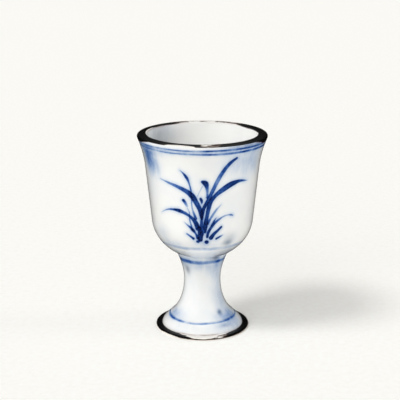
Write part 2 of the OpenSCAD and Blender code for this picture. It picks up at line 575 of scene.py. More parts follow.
    washes: tuple[Wash, ...] = (
        Wash("rim_band", 0, 99.4, ALL_ROUND, 1.6, 0.24),
        Wash("rim_dab_left", -58, 99.8, 12, 1, 0.3),
        Wash("rim_shade_right", 46, 101.6, 22, 0.9, 0.34, painted_shade=0.22),
        Wash("upper_left", -61, 93.2, 9, 6.5, 0.62),
        Wash("upper_left_top", -56, 96.8, 12, 1.6, 0.3),
        Wash("upper_left_streak", -51, 90.5, 6, 5, 0.22),
        # Partly a cobalt wash, partly painted shade on the bowl's right, away from the light
        Wash("upper_right", 54, 93, 16, 8, 0.2, painted_shade=0.04),
        Wash("upper_right_thin", 33, 95, 13, 7, 0.11, painted_shade=0.04),
        # Painted shade low on the bowl's right, and where it turns under on the left
        Wash("lower_right", 33, 53.4, 8, 3.4, 0.08, painted_shade=0.22),
        Wash("lower_right_edge", 31, 51, 6, 1.6, 0.14, painted_shade=0.32),
        Wash("lower_left", -48, 55.5, 10, 4, 0.04, painted_shade=0.1),
        Wash("lower_left_edge", -37, 50, 13, 2.2, 0.11),
        Wash("under_root", 4, 51, 14, 2.5, 0.1),
        # Painted shade under the bowl and round the neck; the collar band is partly a blue wash round its
        # ring line
        Wash("underside_band", 0, 44.6, ALL_ROUND, 1.6, 0.05, painted_shade=0.06),
        Wash("underside_right", 40, 46, 16, 2.6, 0.03, painted_shade=0.09),
        Wash("neck_band", 0, 41.5, ALL_ROUND, 3, 0.09, painted_shade=0.03),
        Wash("collar_band", 0, 36.4, ALL_ROUND, 3.4, 0.17, painted_shade=0.04),
        # Painted shade on the stem's top under the bowl, and in the crease where they meet
        Wash("collar_smudge", -46, 32.6, 9, 2.6, 0.08, painted_shade=0.46),
        Wash("collar_spot", 31, 40.4, 11, 1.8, 0.18, painted_shade=0.6),
        Wash("collar_dab_left", -42, 37.9, 14, 1.3, 0.45),
        Wash("collar_dab_right", 42, 37.8, 16, 0.9, 0.36),
        # Painted shade on the stem's right, away from the light, and a faint painted shade that dims its
        # brightly lit left
        Wash("stem_top_right", 40, 32.5, 24, 5, 0.14, painted_shade=0.07),
        Wash("stem_left", -28, 17, 30, 13, 0.025, painted_shade=0.015),
        Wash("stem_right", 58, 18, 26, 12, 0.17, painted_shade=0.05),
        Wash("skirt_left", -68, 8.2, 20, 2.2, 0.28),
        Wash("skirt_right", 62, 7.8, 20, 2.4, 0.35),
        # Painted shade on the skirt's right front
        Wash("skirt_front", 36, 8.4, 13, 2.2, 0.09, painted_shade=0.03),
        Wash("skirt_spot", 41, 10.3, 6, 1.1, 0.3, painted_shade=0.45),
        Wash("foot_dab_left", -62, 6.4, 20, 0.6, 0.32),
        Wash("foot_dab_right", 56, 6.4, 18, 0.6, 0.3),
        # A faint painted shade that dims the brightly lit left of the foot, and painted shade on its right
        Wash("foot_left", -25, 4, 35, 3, 0.015, painted_shade=0.015),
        Wash("foot_blot", 37, 4.8, 11, 0.9, 0.2, painted_shade=0.12),
        Wash("foot_right", 54, 3.8, 24, 2.4, 0.12, painted_shade=0.06),
    )
    # Painted shade on the inside of the bowl's left wall, which faces away from the light
    shade: tuple[Wash, ...] = (Wash("inside_left", -122, 97, 23, 13, 0.13, painted_shade=0.48),)

    def load_at(self, place: Place, skin: Skin) -> np.ndarray:
        """Lays every mark over the ones before it.

        Args:
            place: Where the vertices lie.
            skin: Their skin, which is painted outside and given painted shade inside.

        Returns:
            The load of cobalt at each vertex, from 0 to 1.
        """
        clear = np.ones_like(place.angle)
        for mark in (*self.washes, *self.lines, *self.orchid) if skin is Skin.OUTSIDE else self.shade:
            clear = clear * (1 - np.clip(mark.load_at(place), 0, 1))
        return 1 - clear

    def painted_shade_at(self, place: Place, skin: Skin) -> np.ndarray:
        """Adds up the painted grey shade of the washes.

        Args:
            place: Where the vertices lie.
            skin: Their skin.

        Returns:
            The painted grey shade at each vertex, from 0 to 1.
        """
        washes = self.washes if skin is Skin.OUTSIDE else self.shade
        return np.sum([wash.painted_shade_at(place) for wash in washes if wash.painted_shade], axis=0)


@dataclass(frozen=True)
class WornPatch:
    """A patch of a dressed edge where the iron is rubbed or was brushed thin, tapering to its ends."""

    angle: float
    half_angle: float
    middle: float
    half_width: float
    amount: float
    # The patch is gone outside the first of these shares of its half-sizes and full inside the second
    gone: float = 1.2
    full: float = 0.8

    def wear_at(self, angle: np.ndarray, share: np.ndarray) -> np.ndarray:
        """Works out the wear of the patch.

        Args:
            angle: Angles of the vertices.
            share: Their place across the dressing, from 0 inside to 1 outside.

        Returns:
            The wear at each vertex, from 0 to 1.
        """
        along = turned_away(angle, self.angle) / self.half_angle
        across = (share - self.middle) / self.half_width
        return self.amount * smooth_step(self.gone, self.full, np.hypot(along, across))


@dataclass(frozen=True)
class IronRuns:
    """Where iron ran off the lip's dressing: angles with lengths, and how it fades to their sides."""

    places: tuple[tuple[float, float], ...]
    faded: float
    full: float
    fingers: int
    finger_length: float

    def reach_at(self, angle: np.ndarray) -> np.ndarray:
        """Works out how far down the iron ran.

        Args:
            angle: Angles of the vertices.

        Returns:
            The length of the run at each vertex.
        """
        reach = np.zeros_like(angle)
        fingers = waves(np.radians(angle), (self.finger_length, self.fingers, 0.0))
        for centre, length in self.places:
            near = smooth_step(self.faded, self.full, turned_away(angle, centre))
            reach = np.maximum(reach, near * (length + fingers))
        return reach


@dataclass(frozen=True)
class PorcelainGlaze:
    """Glazed porcelain: a white body under a clear, faintly blue glaze with cobalt beneath it."""

    name: str = "glazed_porcelain"
    white: str = "#f1f1ef"
    cool: str = "#e9ecee"
    # Whiter colour of the inside, painted light
    inside_painted_light: str = "#fcfcfa"
    cobalt: tuple[tuple[float, str], ...] = (
        (0.0, "#ffffff"),
        (0.12, "#e1e9f5"),
        (0.3, "#b1c5e5"),
        (0.5, "#7b9bce"),
        (0.68, "#3d66b0"),
        (0.82, "#173f8a"),
        (0.93, "#082560"),
        (1.0, "#02103f"),
    )
    # Grey of the painted shade
    shade_grey: str = "#3a3c3f"
    iron_stain: str = "#84503a"
    iron_black: str = "#0c0c0d"
    biscuit: str = "#efe6da"
    kiln_flash: str = "#d9b394"
    cloud: float = 14.0
    heap: float = 0.9
    heap_least: float = 0.9
    heap_most: float = 1.08
    pool: float = 3.5
    pool_height: float = 0.4
    pool_swing: float = 0.45
    ripple: float = 2.6
    ripple_depth: float = 0.1
    roughness: float = 0.2
    coat_roughness: float = 0.07
    biscuit_roughness: float = 0.85

    def make(self) -> bpy.types.Material:
        """Builds the material.

        Returns:
            A material that reads the cobalt, iron and bare attributes, and those for painted grey shade and
            a painted brighter inside.
        """
        material = new_material(self.name)
        add = partial(add_node, material.node_tree)
        place = add("ShaderNodeTexCoord").outputs["Object"]
        cobalt, painted_shade, iron, bare, inside_painted_light = (
            add("ShaderNodeAttribute", attribute_name=name).outputs["Fac"]
            for name in ("cobalt", "painted_shade", "iron", "bare", "inside_painted_light")
        )

        # The glaze is thicker in some places than in others, which clouds its white with blue
        cloud = add("ShaderNodeTexNoise", {"Vector": place, "Scale": per_metre(self.cloud), "Detail": 3.0})
        body = add("ShaderNodeValToRGB", {"Fac": cloud}, ((0.35, self.white), (0.75, self.cool)))
        # The inside gets a whiter colour than the outside, painted light that brightens the inside of the
        # bowl
        lit_inside = add(
            "ShaderNodeMix", {MIX_FACTOR: inside_painted_light, MIX_A: body, MIX_B: linear(self.inside_painted_light)}, data_type="RGBA"
        )

        # Cobalt heaps into dark grains and thins between them at under a millimetre
        grain = add("ShaderNodeTexNoise", {"Vector": place, "Scale": per_metre(self.heap), "Detail": 2.0})
        heaped = add(
            "ShaderNodeMapRange",
            {"Value": grain, **NOISE_RANGE, "To Min": self.heap_least, "To Max": self.heap_most},
        )
        # A thin wash pools and runs down the wall in streaks a few millimetres wide
        drawn_down = add("ShaderNodeMapping", {"Vector": place, "Scale": (1.0, 1.0, self.pool_height)})
        pools = add(
            "ShaderNodeTexNoise", {"Vector": drawn_down, "Scale": per_metre(self.pool), "Detail": 2.0}
        )
        pooled = add(
            "ShaderNodeMapRange",
            {"Value": pools, **NOISE_RANGE, "To Min": -self.pool_swing, "To Max": self.pool_swing},
        )
        thin = add("ShaderNodeMath", {0: 1.0, 1: cobalt}, operation="SUBTRACT")
        uneven = add("ShaderNodeMath", {0: thin, 1: pooled, 2: heaped}, operation="MULTIPLY_ADD")
        density = add("ShaderNodeMath", {0: cobalt, 1: uneven}, operation="MULTIPLY", use_clamp=True)
        blue = add("ShaderNodeValToRGB", {"Fac": density}, self.cobalt)
        painted = add(
            "ShaderNodeMix",
            {MIX_FACTOR: 1.0, MIX_A: lit_inside, MIX_B: blue},
            data_type="RGBA",
            blend_type="MULTIPLY",
        )

        # Painted grey shade greys a wash where shade falls
        grey_shaded = add(
            "ShaderNodeMix", {MIX_FACTOR: painted_shade, MIX_A: painted, MIX_B: linear(self.shade_grey)}, data_type="RGBA"
        )

        # Iron from the dressed edges stains the glaze brown beside them, and is black where it ran
        stain = add("ShaderNodeMath", {0: iron, 1: heaped}, operation="MULTIPLY", use_clamp=True)
        rust = add("ShaderNodeValToRGB", {"Fac": stain}, ((0.4, self.iron_stain), (0.75, self.iron_black)))
        covered = add("ShaderNodeMapRange", {"Value": stain, "From Max": 0.8})
        stained = add("ShaderNodeMix", {MIX_FACTOR: covered, MIX_A: grey_shaded, MIX_B: rust}, data_type="RGBA")

        # Where the glaze was wiped off, the body is matt and the kiln flushed it
        flush = add("ShaderNodeValToRGB", {"Fac": cloud}, ((0.4, self.biscuit), (0.8, self.kiln_flash)))
        colour = add("ShaderNodeMix", {MIX_FACTOR: bare, MIX_A: stained, MIX_B: flush}, data_type="RGBA")
        matt = add(
            "ShaderNodeMapRange", {"Value": bare, "To Min": self.roughness, "To Max": self.biscuit_roughness}
        )
        dull = add("ShaderNodeMath", {0: bare, 1: covered}, operation="MAXIMUM")
        coat = add("ShaderNodeMapRange", {"Value": dull, "To Min": 1.0, "To Max": 0.0})

        # The fired glaze has a faint orange-peel ripple
        peel = add("ShaderNodeTexNoise", {"Vector": place, "Scale": per_metre(self.ripple), "Detail": 1.0})
        bump = add("ShaderNodeBump", {"Height": peel, "Strength": 0.12, "Distance": self.ripple_depth * MM})
        shader = add(
            "ShaderNodeBsdfPrincipled",
            {
                "Base Color": colour,
                "Roughness": matt,
                "Coat Weight": coat,
                "Coat Roughness": self.coat_roughness,
                "IOR": 1.5,
                "Normal": bump,
            },
        )
        add("ShaderNodeOutputMaterial", {"Surface": shader})
        return material


@dataclass(frozen=True)
class IronDressing:
    """Iron-black brushed slip: satin and nearly black, brown where thin, pale where worn through."""

    name: str = "iron_black_dressing"
    black: str = "#0c0c0d"
    brown: str = "#5a4638"
    body: str = "#ece9e3"
    streak: float = 1.2
    streak_turns: float = 9.0
    streak_depth: float = 0.1
    streak_wear: float = 0.45
    roughness: float = 0.45
    sheen_swing: float = 0.12

    def make(self) -> bpy.types.Material:
        """Builds the material.

        Returns:
            A material that reads the wear attribute.
        """
        material = new_material(self.name)
        add = partial(add_node, material.node_tree)
        place = add("ShaderNodeTexCoord").outputs["Object"]
        wear = add("ShaderNodeAttribute", attribute_name="wear").outputs["Fac"]

        # The bristles leave streaks that run round the edge without a break. Real ones are too fine to
        # show, so these are drawn coarser
        parts = add("ShaderNodeSeparateXYZ", {"Vector": place}).outputs
        flat = add("ShaderNodeCombineXYZ", {"X": parts["X"], "Y": parts["Y"]})
        radius = add("ShaderNodeVectorMath", {0: flat}, operation="LENGTH")
        outwards = add("ShaderNodeVectorMath", {0: flat}, operation="NORMALIZE")
        along = add("ShaderNodeVectorMath", {0: outwards, "Scale": self.streak_turns}, operation="SCALE")
        out = add("ShaderNodeMath", {0: radius, 1: per_metre(self.streak)}, operation="MULTIPLY")
        drop = add("ShaderNodeMath", {0: parts["Z"], 1: per_metre(self.streak)}, operation="MULTIPLY")
        level = add("ShaderNodeCombineXYZ", {"Z": drop})
        bristles = add("ShaderNodeVectorMath", {0: along, 1: level}, operation="ADD")
        streaks = add(
            "ShaderNodeTexNoise",
            {"Vector": bristles, "W": out, "Scale": 1.0, "Detail": 3.0},
            noise_dimensions="4D",
        )
        rubbed = add(
            "ShaderNodeMath",
            {0: streaks, 1: 2 * self.streak_wear, 2: -self.streak_wear},
            operation="MULTIPLY_ADD",
        )
        worn = add("ShaderNodeMath", {0: wear, 1: rubbed}, operation="ADD", use_clamp=True)
        colour = add(
            "ShaderNodeValToRGB",
            {"Fac": worn},
            ((0.05, self.black), (0.3, self.black), (0.45, self.brown), (0.62, self.body)),
        )
        least, most = self.roughness - self.sheen_swing, self.roughness + self.sheen_swing
        sheen = add("ShaderNodeMapRange", {"Value": streaks, "To Min": least, "To Max": most})
        bump = add(
            "ShaderNodeBump", {"Height": streaks, "Strength": 0.25, "Distance": self.streak_depth * MM}
        )
        shader = add(
            "ShaderNodeBsdfPrincipled",
            {
                "Base Color": colour,
                "Roughness": sheen,
                "Specular IOR Level": 0.35,
                "IOR": 1.5,
                "Normal": bump,
            },
        )
        add("ShaderNodeOutputMaterial", {"Surface": shader})
        return material


@dataclass(frozen=True)
class DrawingPaper:
    """Rough drawing paper for the floor: off-white and matt, with faint fibres."""

    name: str = "drawing_paper"
    light: str = "#fffefa"
    dark: str = "#fcfaf5"
    fibre: float = 3.0

    def make(self) -> bpy.types.Material:
        """Builds the material.

        Returns:
            A matt material.
        """
        material = new_material(self.name)
        add = partial(add_node, material.node_tree)
        place = add("ShaderNodeTexCoord").outputs["Object"]
        # Single fibres are too fine to show, so these are drawn as coarse as clumps of them
        fibres = add("ShaderNodeTexNoise", {"Vector": place, "Scale": per_metre(self.fibre), "Detail": 4.0})
        colour = add("ShaderNodeValToRGB", {"Fac": fibres}, ((0.3, self.dark), (0.6, self.light)))
        shader = add(
            "ShaderNodeBsdfPrincipled", {"Base Color": colour, "Roughness": 1.0, "Specular IOR Level": 0.0}
        )
        add("ShaderNodeOutputMaterial", {"Surface": shader})
        return material


@dataclass
class Outline:
    """The outline of a turned piece, as stations of radius and height, each with its skin."""

    stations: list[np.ndarray] = field(default_factory=list)
    skins: list[Skin] = field(default_factory=list)

    def run(self, points: np.ndarray, skin: Skin) -> None:
        """Adds a stretch with one skin, and drops a first point that is already there.

        Args:
            points: The stretch's points, one a row.
            skin: What covers it.
        """
        for point in np.asarray(points, float):
            if self.stations and np.linalg.norm(point - self.stations[-1]) < SAME_STATION:
                continue
            self.stations.append(point)
            self.skins.append(skin)


@dataclass(frozen=True)
class Columns:
    """How finely an outline is spun: close columns over the front, wider ones round the back."""

    front_half: float
    front_step: float
    back_step: float


@dataclass
class TurnedPiece:
    """A piece that is spun about the cup's axis and rides on its one body."""

    node: str
    slot: Slot
    columns: Columns

    def spin(self, outline: Outline, closed: bool = True) -> bpy.types.Object:
        """Spins an outline into an object.

        Args:
            outline: The outline to spin.
            closed: Whether the last station joins the first.

        Returns:
            The object, linked to the scene.
        """
        shape = bmesh.new()
        skin_layer = shape.verts.layers.int.new("skin")
        first = Matrix.Rotation(math.radians(-self.columns.front_half), 3, "Z")
        stations = []
        for (radius, height), skin in zip(outline.stations, outline.skins):
            vert = shape.verts.new(first @ Vector((0.0, -radius * MM, height * MM)))
            vert[skin_layer] = skin.value
            stations.append(vert)
        pairs = list(zip(stations, stations[1:]))
        if closed:
            pairs.append((stations[-1], stations[0]))
        edges = [shape.edges.new(pair) for pair in pairs]
        front = 2 * self.columns.front_half
        swept: list[Any] = [*stations, *edges]
        for sweep, step in ((front, self.columns.front_step), (FULL_TURN - front, self.columns.back_step)):
            if sweep <= 0:
                continue
            swept = bmesh.ops.spin(
                shape,
                geom=swept,
                cent=(0, 0, 0),
                axis=(0, 0, 1),
                angle=math.radians(sweep),
                steps=max(1, round(sweep / step)),
                use_merge=sweep == FULL_TURN,
            )["geom_last"]
        bmesh.ops.remove_doubles(shape, verts=shape.verts, dist=SAME_VERTEX)
        bmesh.ops.recalc_face_normals(shape, faces=shape.faces)
        for face in shape.faces:
            face.smooth = True
        mesh = finished_mesh(self.node, shape)
        mesh.set_sharp_from_angle(angle=CRISP_TURN)
        self.wobble(mesh)
        return add_object(f"{self.node}_fired", mesh)

    def points(self, mesh: bpy.types.Mesh) -> np.ndarray:
        """Reads a mesh's vertices.

        Args:
            mesh: The mesh.

        Returns:
            The vertices in metres, one a row.
        """
        points = np.empty(3 * len(mesh.vertices))
        mesh.vertices.foreach_get("co", points)
        return points.reshape(-1, 3)

    def place(self, mesh: bpy.types.Mesh) -> Place:
        """Gives where the mesh's vertices lie."""
        x, y, z = self.points(mesh).T / MM
        return Place(np.degrees(np.arctan2(x, -y)), np.hypot(x, y), z)

    def wobble(self, mesh: bpy.types.Mesh) -> None:
        """Gives a mesh the slight unevenness of wheel-thrown ware, alike on every piece.

        Args:
            mesh: The mesh.
        """
        place = self.place(mesh)
        # Shares of the radius, how many go round, and phases that turn with the height
        oval = (0.0022, 2, 0.04 * place.height + 0.7)
        three_sided = (0.0014, 3, -0.09 * place.height + 2.1)
        points = self.points(mesh)
        points[:, :2] *= 1 + waves(np.radians(place.angle), oval, three_sided)[:, None]
        mesh.vertices.foreach_set("co", points.ravel())
        mesh.update()

    def skins(self, mesh: bpy.types.Mesh) -> np.ndarray:
        """Reads what covers a mesh.

        Args:
            mesh: The mesh.

        Returns:
            The number of each vertex's skin.
        """
        numbers = np.empty(len(mesh.vertices), dtype=np.int32)
        mesh.attributes["skin"].data.foreach_get("value", numbers)
        return numbers

    def write(self, mesh: bpy.types.Mesh, name: str, values: np.ndarray) -> None:
        """Stores a number for each vertex under a name that the material reads."""
        layer = mesh.attributes.new(name, "FLOAT", "POINT")
        layer.data.foreach_set("value", np.clip(values, 0, 1).astype(np.float32))

    def hand_over(self, piece: bpy.types.Object, material: bpy.types.Material) -> None:
        """Gives a piece its finish and puts it in its node's place.

        Args:
            piece: The dressed piece.
            material: Its finish.
        """
        piece.data.materials.append(material)
        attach(piece, BODY)
        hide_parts(self.node)
        triangles = sum(len(p.vertices) - 2 for p in piece.data.polygons)
        LOG.info("%s replaces %s with %d triangles", piece.name, self.node, triangles)


@dataclass
class GlazedPiece(TurnedPiece):
    """A turned piece of porcelain with its glaze and its share of the brushwork."""

    def stain_at(self, place: Place, skin: Skin) -> np.ndarray:
        """Gives the iron stain beside a dressed edge, which most pieces lack."""
        return np.zeros_like(place.angle)

    def dress(self, piece: bpy.types.Object, brushwork: Brushwork) -> None:
        """Paints the piece's vertices.

        Args:
            piece: The spun piece.
            brushwork: The cobalt on the whole cup.
        """
        mesh = piece.data
        place = self.place(mesh)
        skins = self.skins(mesh)
        cobalt, painted_shade, iron = np.zeros((3, len(skins)))
        for skin in (Skin.OUTSIDE, Skin.INSIDE):
            covered = skins == skin.value
            there = Place(*(values[covered] for values in place))
            cobalt[covered] = brushwork.load_at(there, skin)
            # Painted grey shade from the washes
            painted_shade[covered] = brushwork.painted_shade_at(there, skin)
            iron[covered] = self.stain_at(there, skin)
        self.write(mesh, "cobalt", cobalt)
        self.write(mesh, "painted_shade", painted_shade)
        self.write(mesh, "iron", iron)
        self.write(mesh, "bare", np.isin(skins, (Skin.BARE.value, Skin.JOINT.value)))
        # The inside skin takes the whiter colour, painted light that brightens the inside
        self.write(mesh, "inside_painted_light", skins == Skin.INSIDE.value)


@dataclass(frozen=True)
class CupFrame:
    """The sizes of the cup that the frame's boxes give."""

    rim_r: float
    top_z: float
    seat_r: float
    seat_z: float
    tenon_z: float
    stem_top_z: float
    stem_z: float
    stem_base_r: float
    foot_r: float
    foot_h: float
    spigot_top_z: float

    @classmethod
    def measured(cls) -> CupFrame:
        """Reads the sizes from the loaded frame.

        Returns:
            The sizes in millimetres.
        """
        low = {}
        high = {}
        for node in ("bowl", "lip_dressing", "bowl_slip", "stem", "foot_slip", "foot", "foot_dressing"):
            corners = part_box(node)
            low[node], high[node] = (corner / MM for corner in corners)
        return cls(
            rim_r=high["bowl"].x,
            top_z=high["lip_dressing"].z,
            seat_r=high["bowl_slip"].x,
            seat_z=high["bowl_slip"].z,
            tenon_z=low["bowl"].z,
            stem_top_z=high["stem"].z,
            stem_z=low["stem"].z,
            stem_base_r=high["stem"].x,
            foot_r=high["foot_dressing"].x,
            foot_h=low["foot_slip"].z,
            spigot_top_z=high["foot"].z,
        )


@dataclass(frozen=True)
class Lip:
    """The everted lip's corners and the thickness of its dressing."""

    frame: CupFrame
    width: float = 5.0
    fall: float = 0.35
    inner_round: float = 0.8
    outer_round: float = 1.1
    turn: float = 22.0
    dressing_turn: float = 40.0
    dressing_t: float = 0.3
    spacing: float = 0.3

    @property
    def inner_r(self) -> float:
        """Radius of the mouth."""
        return self.frame.rim_r - self.width

    @property
    def inner_centre(self) -> np.ndarray:
        """Centre of the inner corner."""
        return np.array((self.inner_r + self.inner_round, self.frame.top_z - self.inner_round))

    @property
    def outer_centre(self) -> np.ndarray:
        """Centre of the outer corner."""
        return np.array(
            (self.frame.rim_r - self.outer_round, self.frame.top_z - self.fall - self.outer_round)
        )

    def top(self, depth: float) -> np.ndarray:
        """Gives the dressed top from its inner to its outer end, taken inwards.

        Args:
            depth: How far below the surface the points lie.

        Returns:
            The points, one a row.
        """
        inner = arc(self.inner_centre, self.inner_round - depth, 180 - self.dressing_turn, 90, self.spacing)
        outer = arc(self.outer_centre, self.outer_round - depth, 90, self.dressing_turn, self.spacing)
        return np.vstack((inner, line(inner[-1], outer[0], self.spacing), outer))


@dataclass
class Bowl(GlazedPiece):
    """The deep bowl, with the tenon that enters the stem and a rebate for the dressing on its lip."""

    frame: CupFrame
    lip: Lip
    throat_r: float = 29.0
    flare_h: float = 17.0
    belly_r: float = 26.0
    belly_h: float = 17.4
    underside_angle: float = 28.0
    wall: float = 2.4
    floor_t: float = 4.0
    floor_share: float = 0.66
    tenon_r: float = 6.1
    # Handles of the curves, as shares of the height of the belly or the flare
    seat_pull: float = 0.38
    belly_pull: float = 0.51
    hollow_pull: float = 0.6
    flare_first_pull: float = 0.35
    flare_last_pull: float = 0.3
    painted_spacing: float = 0.28
    underside_spacing: float = 0.3
    inside_spacing: float = 1.4
    close_stations: int = 8
    thinning: int = 4
    stain_end: float = 1.5
    stain_full: float = 0.4
    outside_stain: float = 0.12
    inside_stain: float = 0.25
    left_stain_faded: float = 95.0
    left_stain_full: float = 40.0
    run_edge: float = 0.3
    outside_runs: IronRuns = IronRuns(((LEFT, 2.6), (RIGHT, 2.6)), 44, 12, fingers=7, finger_length=0.3)
    inside_runs: IronRuns = IronRuns(((-138, 0.5), (116, 1.0)), 36, 4, fingers=9, finger_length=0.15)

    def outline(self) -> Outline:
        """Draws the outline from the tenon up the outside, over the lip and down the inside.

        Returns:
            The outline, open along the axis.
        """
        frame, lip = self.frame, self.lip
        seat = np.array((frame.seat_r, frame.seat_z))
        belly = np.array((self.belly_r, frame.seat_z + self.belly_h))
        throat = np.array((self.throat_r, frame.top_z - self.flare_h))
        way = (throat - belly) / np.linalg.norm(throat - belly)
        inwards = self.wall * np.array((-way[1], way[0]))
        inner_belly, inner_throat = belly + inwards, throat + inwards
        lip_end = lip.outer_centre + on_angle(-lip.turn, lip.outer_round)
        lip_start = np.array((lip.inner_r, frame.top_z - lip.inner_round))
        first_pull, last_pull = self.flare_first_pull * self.flare_h, self.flare_last_pull * self.flare_h
        floor_z = frame.seat_z + self.floor_t

        drawn = Outline()
        tenon = [(0, frame.tenon_z), (self.tenon_r, frame.tenon_z), (self.tenon_r, frame.seat_z)]
        drawn.run(tenon, Skin.JOINT)
        underside = bezier(
            seat,
            seat + on_angle(self.underside_angle, self.seat_pull * self.belly_h),
            belly - self.belly_pull * self.belly_h * way,
            belly,
            self.underside_spacing,
        )
        drawn.run(underside, Skin.OUTSIDE)
        drawn.run(line(belly, throat, self.painted_spacing), Skin.OUTSIDE)
        flare = bezier(
            throat,
            throat + first_pull * way,
            lip_end - on_angle(90 - lip.turn, last_pull),
            lip_end,
            self.painted_spacing,
        )
        drawn.run(flare, Skin.OUTSIDE)
        outer_corner = arc(lip.outer_centre, lip.outer_round, -lip.turn, lip.dressing_turn, lip.spacing)
        drawn.run(outer_corner, Skin.OUTSIDE)
        drawn.run(lip.top(lip.dressing_t)[::-1], Skin.JOINT)
        inner_corner = arc(lip.inner_centre, lip.inner_round, 180 - lip.dressing_turn, 180, lip.spacing)
        drawn.run(inner_corner, Skin.INSIDE)
        mouth = bezier(
            lip_start,
            lip_start - np.array((0, first_pull)),
            inner_throat + last_pull * way,
            inner_throat,
            lip.spacing,
        )
        # Close stations where the iron crept over the lip, and fewer below
        drawn.run(mouth[: self.close_stations], Skin.INSIDE)
        drawn.run(mouth[self.close_stations :: self.thinning], Skin.INSIDE)
        drawn.run(line(inner_throat, inner_belly, 2 * self.inside_spacing), Skin.INSIDE)
        hollow = bezier(
            inner_belly,
            inner_belly - self.hollow_pull * self.belly_h * way,
            np.array((self.floor_share * inner_belly[0], floor_z)),
            np.array((0, floor_z)),
            self.inside_spacing,
        )
        drawn.run(hollow, Skin.INSIDE)
        return drawn

    def stain_at(self, place: Place, skin: Skin) -> np.ndarray:
        """Gives the iron beside the lip's dressing: a brown stain, and black that ran over its corners.

        Args:
            place: Where the vertices lie.
            skin: Their skin.

        Returns:
            The load of iron at each vertex, from 0 to 1.
        """
        top = self.frame.top_z
        uneven = 0.5 + waves(np.radians(place.angle), (0.2, 5, 0.4), (0.2, 13, 0.0))
        beside = smooth_step(top - self.stain_end, top - self.stain_full, place.height) * uneven
        if skin is Skin.INSIDE:
            off_left = turned_away(place.angle, LEFT)
            left = smooth_step(self.left_stain_faded, self.left_stain_full, off_left)
            stain = beside * self.inside_stain * (1 + left)
            reach = self.inside_runs.reach_at(place.angle)
            end = top - reach
        else:
            stain = beside * self.outside_stain
            reach = self.outside_runs.reach_at(place.angle)
            end = top - self.lip.fall - reach
        edge = smooth_step(end - self.run_edge, end + self.run_edge / 3, place.height)
        return np.maximum(stain, np.where(reach > self.run_edge, edge, 0.0))

    def build(self) -> bpy.types.Object:
        """Spins the bowl."""
        return self.spin(self.outline(), closed=False)


@dataclass
class Stem(GlazedPiece):
    """The hollow waisted stem, with a socket at its lower end for the foot's spigot."""

    frame: CupFrame
    waist_r: float = 9.5
    waist_h: float = 18.4
    collar_angle: float = 65.0
    skirt_angle: float = 38.0
    bore_r: float = 6.5
    hollow_r: float = 10.0
    socket_r: float = 13.0
    socket_top_z: float = 9.6
    # Handles of the curves, as shares of the height that each one climbs
    skirt_pull: float = 0.34
    waist_pull: float = 0.38
    collar_pull: float = 0.26
    long_pull: float = 0.4
    hollow_lean: float = 0.15
    spacing: float = 0.35
    hollow_spacing: float = 1.2

    def outline(self) -> Outline:
        """Draws the outline up the outside, down the bore and back to the socket.

        Returns:
            The closed outline.
        """
        frame = self.frame
        base = np.array((frame.stem_base_r, frame.stem_z))
        top = np.array((frame.seat_r, frame.stem_top_z))
        waist = np.array((self.waist_r, frame.stem_z + self.waist_h))
        upper_h = top[1] - waist[1]
        bore_top = np.array((self.bore_r, frame.stem_top_z))
        bore_end = np.array((self.bore_r, waist[1]))
        hollow_end = np.array((self.hollow_r, self.socket_top_z))
        below = waist[1] - self.socket_top_z

        drawn = Outline()
        skirt = bezier(
            base,
            base + on_angle(180 - self.skirt_angle, self.skirt_pull * self.waist_h),
            waist - np.array((0, self.waist_pull * self.waist_h)),
            waist,
            self.spacing,
        )
        drawn.run(skirt, Skin.OUTSIDE)
        collar = bezier(
            waist,
            waist + np.array((0, self.long_pull * upper_h)),
            top - on_angle(self.collar_angle, self.collar_pull * upper_h),
            top,
            self.spacing,
        )
        drawn.run(collar, Skin.OUTSIDE)
        drawn.run(line(bore_top, bore_end, 2 * self.hollow_spacing), Skin.BARE)
        hollow = bezier(
            bore_end,
            bore_end - np.array((0, self.long_pull * below)),
            hollow_end + np.array((-self.hollow_lean, self.long_pull)) * below,
            hollow_end,
            self.hollow_spacing,
        )
        drawn.run(hollow, Skin.BARE)
        drawn.run([(self.socket_r, self.socket_top_z), (self.socket_r, frame.stem_z)], Skin.JOINT)
        return drawn

    def build(self) -> bpy.types.Object:
        """Spins the stem."""
        return self.spin(self.outline())


